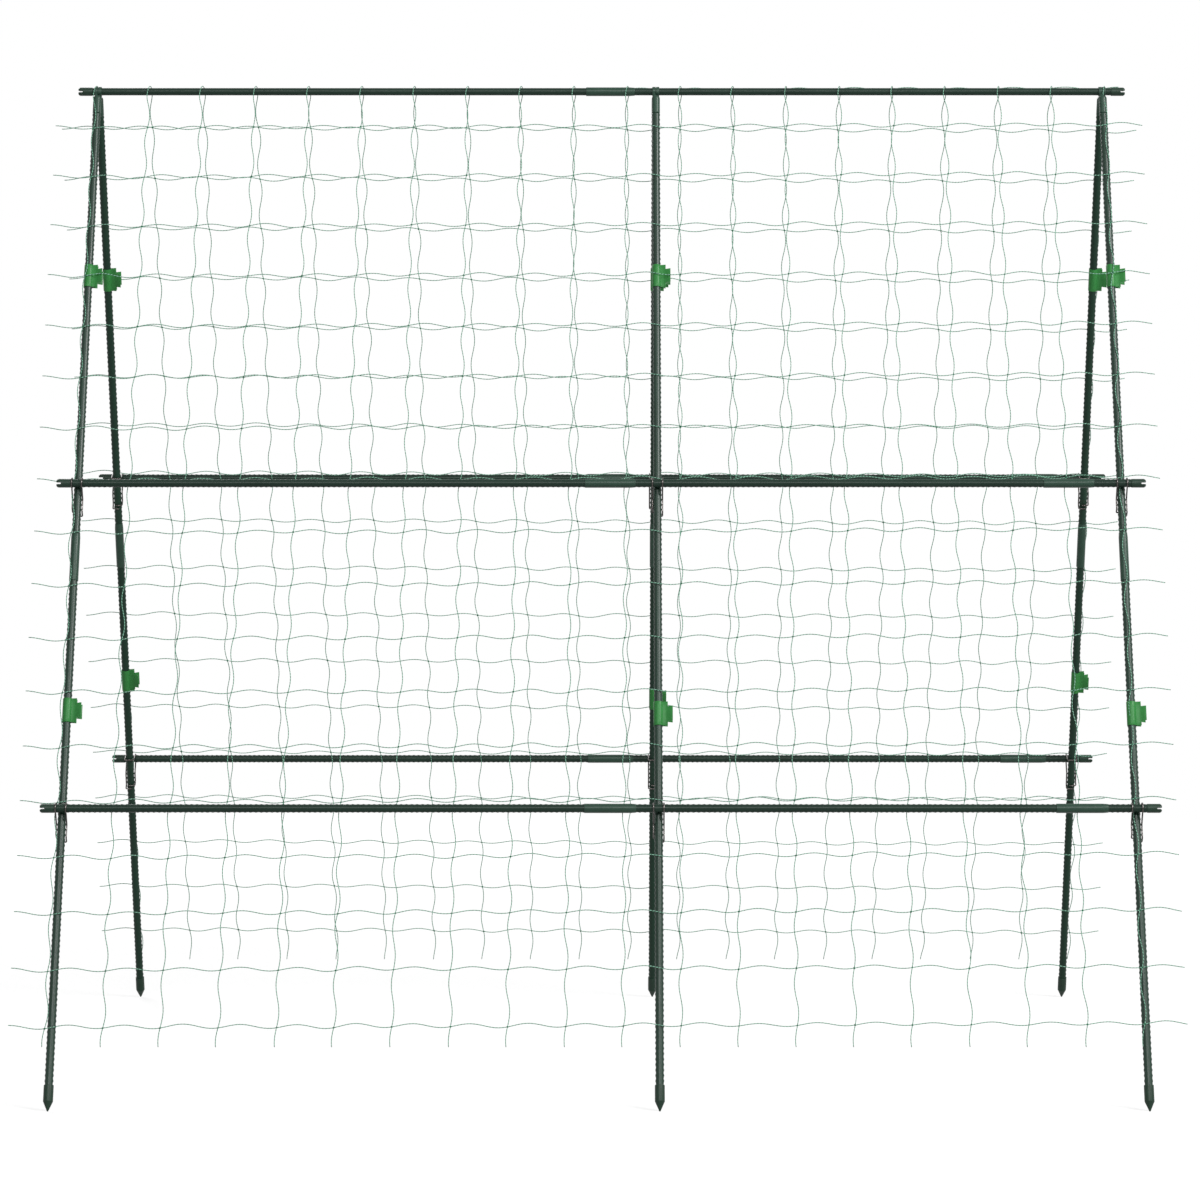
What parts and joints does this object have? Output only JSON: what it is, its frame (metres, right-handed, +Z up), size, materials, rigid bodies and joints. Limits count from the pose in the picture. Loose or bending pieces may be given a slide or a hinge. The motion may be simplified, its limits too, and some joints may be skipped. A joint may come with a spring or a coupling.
{
  "type": "a-frame garden trellis",
  "caption": "A-frame climbing plant trellis of green coated stakes and bars, tied with wire, with snap clips and a string net over both sides; folds at its top bar",
  "frame": {"origin": "on the ground, under the top bar and halfway between the outer A-frames", "axes": "X along the bars to the right as the picture shows it, Y away from the camera, Z up"},
  "size_m": [2.035, 1.3504, 1.8061],
  "materials": {
    "coated_steel": "dark green plastic coat, satin",
    "dark_plastic": "dark green, moulded",
    "spring_wire": "plain drawn wire",
    "clip_plastic": "bright green, moulded",
    "net_string": "twisted string"
  },
  "bodies": {
    "front_side": {"top_bar_left": "coated_steel", "top_bar_right": "coated_steel", "apex_cap_front_left": "dark_plastic", "upper_stake_front_left": "coated_steel", "lower_stake_front_left": "coated_steel", "foot_tip_front_left": "dark_plastic", "apex_cap_front_middle": "dark_plastic", "leg_stake_front_middle": "coated_steel", "foot_tip_front_middle": "dark_plastic", "apex_cap_front_right": "dark_plastic", "upper_stake_front_right": "coated_steel", "lower_stake_front_right": "coated_steel", "foot_tip_front_right": "dark_plastic", "front_middle_bar_left": "coated_steel", "front_middle_bar_right": "coated_steel", "front_lower_bar_left": "coated_steel", "front_lower_bar_right": "coated_steel", "wire_tie_front_middle_left": "spring_wire", "wire_tie_front_middle_middle": "spring_wire", "wire_tie_front_middle_right": "spring_wire", "wire_tie_front_lower_left": "spring_wire", "wire_tie_front_lower_middle": "spring_wire", "wire_tie_front_lower_right": "spring_wire", "snap_clip_front_upper_left": "clip_plastic", "snap_clip_front_upper_middle": "clip_plastic", "snap_clip_front_upper_right": "clip_plastic", "snap_clip_front_lower_left": "clip_plastic", "snap_clip_front_lower_middle": "clip_plastic", "snap_clip_front_lower_right": "clip_plastic", "net_front": "net_string"},
    "back_side": {"apex_cap_back_left": "dark_plastic", "upper_stake_back_left": "coated_steel", "lower_stake_back_left": "coated_steel", "foot_tip_back_left": "dark_plastic", "apex_cap_back_middle": "dark_plastic", "upper_stake_back_middle": "coated_steel", "lower_stake_back_middle": "coated_steel", "foot_tip_back_middle": "dark_plastic", "apex_cap_back_right": "dark_plastic", "upper_stake_back_right": "coated_steel", "lower_stake_back_right": "coated_steel", "foot_tip_back_right": "dark_plastic", "back_middle_bar_left": "coated_steel", "back_middle_bar_right": "coated_steel", "back_lower_bar_left": "coated_steel", "back_lower_bar_right": "coated_steel", "wire_tie_back_middle_left": "spring_wire", "wire_tie_back_middle_middle": "spring_wire", "wire_tie_back_middle_right": "spring_wire", "wire_tie_back_lower_left": "spring_wire", "wire_tie_back_lower_middle": "spring_wire", "wire_tie_back_lower_right": "spring_wire", "snap_clip_back_upper_left": "clip_plastic", "snap_clip_back_upper_middle": "clip_plastic", "snap_clip_back_upper_right": "clip_plastic", "snap_clip_back_lower_left": "clip_plastic", "snap_clip_back_lower_middle": "clip_plastic", "snap_clip_back_lower_right": "clip_plastic", "net_back": "net_string"}
  },
  "joints": [
    {"name": "fold", "type": "hinge", "parent": "front_side", "child": "back_side", "pos_m": [0, 0, 1.79613], "axis": [-1, 0, 0], "range_deg": [0, 40]}
  ]
}
